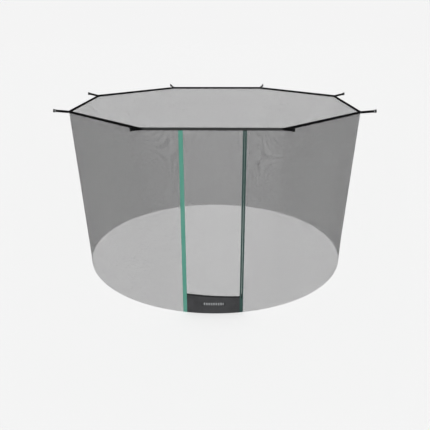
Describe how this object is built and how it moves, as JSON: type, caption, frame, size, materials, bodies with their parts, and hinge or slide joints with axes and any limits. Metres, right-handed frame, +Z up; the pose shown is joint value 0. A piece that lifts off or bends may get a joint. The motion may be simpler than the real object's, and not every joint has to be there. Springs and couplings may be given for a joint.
{
  "type": "trampoline enclosure net",
  "caption": "Round mesh safety enclosure for a trampoline, with a webbing rim, pole straps and a zipped door above a low threshold.",
  "frame": {"origin": "centre of the eight pole fastenings, on the net's own axis and level with the middle of the rim webbing", "axes": "+Z up; -Y out through the door in the front side of the octagon; +X to the right of somebody who faces the door from outside"},
  "size_m": [3.2614, 3.2614, 1.837],
  "materials": {
    "net_mesh": "fine black polyester mesh, about half open, with a slight sheen",
    "black_webbing": "tight woven black webbing with sewn edges",
    "teal_webbing": "bright teal woven webbing, matt",
    "zip_tape": "dark green woven zip tape",
    "zip_coil": "satin nylon coil, dark green",
    "hook_plastic": "moulded black plastic, satin",
    "threshold_cloth": "dark grey coated woven cloth, matt",
    "binding_tape": "near black folded binding with two rows of stitching",
    "label_weave": "pale grey woven label with a plain bar pattern",
    "zip_metal": "dark painted zinc, satin, worn pale on edges"
  },
  "bodies": {
    "net": {"wall_front_right": "net_mesh", "wall_right": "net_mesh", "wall_back_right": "net_mesh", "wall_back": "net_mesh", "wall_back_left": "net_mesh", "wall_left": "net_mesh", "wall_front_left": "net_mesh", "wall_front_beside_hinge": "net_mesh", "wall_front_beside_zip": "net_mesh", "door_hinge_webbing": "teal_webbing", "threshold_panel": "threshold_cloth", "threshold_binding": "binding_tape", "woven_label": "label_weave", "zip_tape_wall": "zip_tape", "zip_coil_wall": "zip_coil", "zip_top_stop": "zip_metal", "zip_foot_tab": "zip_tape", "zip_retainer_box": "zip_metal", "rim_webbing_front": "black_webbing", "rim_webbing_front_right": "black_webbing", "rim_webbing_right": "black_webbing", "rim_webbing_back_right": "black_webbing", "rim_webbing_back": "black_webbing", "rim_webbing_back_left": "black_webbing", "rim_webbing_left": "black_webbing", "rim_webbing_front_left": "black_webbing", "corner_patch_1": "black_webbing", "corner_patch_2": "black_webbing", "corner_patch_3": "black_webbing", "corner_patch_4": "black_webbing", "corner_patch_5": "black_webbing", "corner_patch_6": "black_webbing", "corner_patch_7": "black_webbing", "corner_patch_8": "black_webbing"},
    "door": {"door_panel": "net_mesh", "zip_tape_door": "zip_tape", "zip_coil_door": "zip_coil"},
    "slider": {"zip_slider": "zip_metal"},
    "pull_tab": {"zip_pull_tab": "zip_metal"},
    "strap_1": {"pole_strap_1": "black_webbing"},
    "hook_1": {"end_hook_1": "hook_plastic"},
    "strap_2": {"pole_strap_2": "black_webbing"},
    "hook_2": {"end_hook_2": "hook_plastic"},
    "strap_3": {"pole_strap_3": "black_webbing"},
    "hook_3": {"end_hook_3": "hook_plastic"},
    "strap_4": {"pole_strap_4": "black_webbing"},
    "hook_4": {"end_hook_4": "hook_plastic"},
    "strap_5": {"pole_strap_5": "black_webbing"},
    "hook_5": {"end_hook_5": "hook_plastic"},
    "strap_6": {"pole_strap_6": "black_webbing"},
    "hook_6": {"end_hook_6": "hook_plastic"},
    "strap_7": {"pole_strap_7": "black_webbing"},
    "hook_7": {"end_hook_7": "hook_plastic"},
    "strap_8": {"pole_strap_8": "black_webbing"},
    "hook_8": {"end_hook_8": "hook_plastic"}
  },
  "joints": [
    {"name": "door_swing", "type": "hinge", "parent": "net", "child": "door", "pos_m": [-0.24987, -1.49475, -0.8019], "axis": [0, -0.0136, -0.9999], "range_deg": [0, 100]},
    {"name": "zip_slide", "type": "slide", "parent": "net", "child": "slider", "axis": [0, 0.0108, 0.9999], "range_m": [0, 1.5774]},
    {"name": "pull_tab_swing", "type": "hinge", "parent": "slider", "child": "pull_tab", "pos_m": [0.27945, -1.50501, -1.602], "axis": [-0.9958, -0.0918, 0], "range_deg": [0, 165]},
    {"name": "strap_swing_1", "type": "hinge", "parent": "net", "child": "strap_1", "pos_m": [-0.61672, -1.4889, 0], "axis": [0, 0, 1], "range_deg": [-75, 75]},
    {"name": "hook_turn_1", "type": "hinge", "parent": "strap_1", "child": "hook_1", "pos_m": [-0.66392, -1.60285, 0.01821], "axis": [0.0559, 0.135, 0.9893], "range_deg": [-100, 100]},
    {"name": "strap_swing_2", "type": "hinge", "parent": "net", "child": "strap_2", "pos_m": [0.61672, -1.4889, 0], "axis": [0, 0, 1], "range_deg": [-75, 75]},
    {"name": "hook_turn_2", "type": "hinge", "parent": "strap_2", "child": "hook_2", "pos_m": [0.66392, -1.60285, 0.01821], "axis": [-0.0559, 0.135, 0.9893], "range_deg": [-100, 100]},
    {"name": "strap_swing_3", "type": "hinge", "parent": "net", "child": "strap_3", "pos_m": [1.4889, -0.61672, 0], "axis": [0, 0, 1], "range_deg": [-75, 75]},
    {"name": "hook_turn_3", "type": "hinge", "parent": "strap_3", "child": "hook_3", "pos_m": [1.60285, -0.66392, 0.01821], "axis": [-0.135, 0.0559, 0.9893], "range_deg": [-100, 100]},
    {"name": "strap_swing_4", "type": "hinge", "parent": "net", "child": "strap_4", "pos_m": [1.4889, 0.61672, 0], "axis": [0, 0, 1], "range_deg": [-75, 75]},
    {"name": "hook_turn_4", "type": "hinge", "parent": "strap_4", "child": "hook_4", "pos_m": [1.60285, 0.66392, 0.01821], "axis": [-0.135, -0.0559, 0.9893], "range_deg": [-100, 100]},
    {"name": "strap_swing_5", "type": "hinge", "parent": "net", "child": "strap_5", "pos_m": [0.61672, 1.4889, 0], "axis": [0, 0, 1], "range_deg": [-75, 75]},
    {"name": "hook_turn_5", "type": "hinge", "parent": "strap_5", "child": "hook_5", "pos_m": [0.66392, 1.60285, 0.01821], "axis": [-0.0559, -0.135, 0.9893], "range_deg": [-100, 100]},
    {"name": "strap_swing_6", "type": "hinge", "parent": "net", "child": "strap_6", "pos_m": [-0.61672, 1.4889, 0], "axis": [0, 0, 1], "range_deg": [-75, 75]},
    {"name": "hook_turn_6", "type": "hinge", "parent": "strap_6", "child": "hook_6", "pos_m": [-0.66392, 1.60285, 0.01821], "axis": [0.0559, -0.135, 0.9893], "range_deg": [-100, 100]},
    {"name": "strap_swing_7", "type": "hinge", "parent": "net", "child": "strap_7", "pos_m": [-1.4889, 0.61672, 0], "axis": [0, 0, 1], "range_deg": [-75, 75]},
    {"name": "hook_turn_7", "type": "hinge", "parent": "strap_7", "child": "hook_7", "pos_m": [-1.60285, 0.66392, 0.01821], "axis": [0.135, -0.0559, 0.9893], "range_deg": [-100, 100]},
    {"name": "strap_swing_8", "type": "hinge", "parent": "net", "child": "strap_8", "pos_m": [-1.4889, -0.61672, 0], "axis": [0, 0, 1], "range_deg": [-75, 75]},
    {"name": "hook_turn_8", "type": "hinge", "parent": "strap_8", "child": "hook_8", "pos_m": [-1.60285, -0.66392, 0.01821], "axis": [0.135, 0.0559, 0.9893], "range_deg": [-100, 100]}
  ]
}
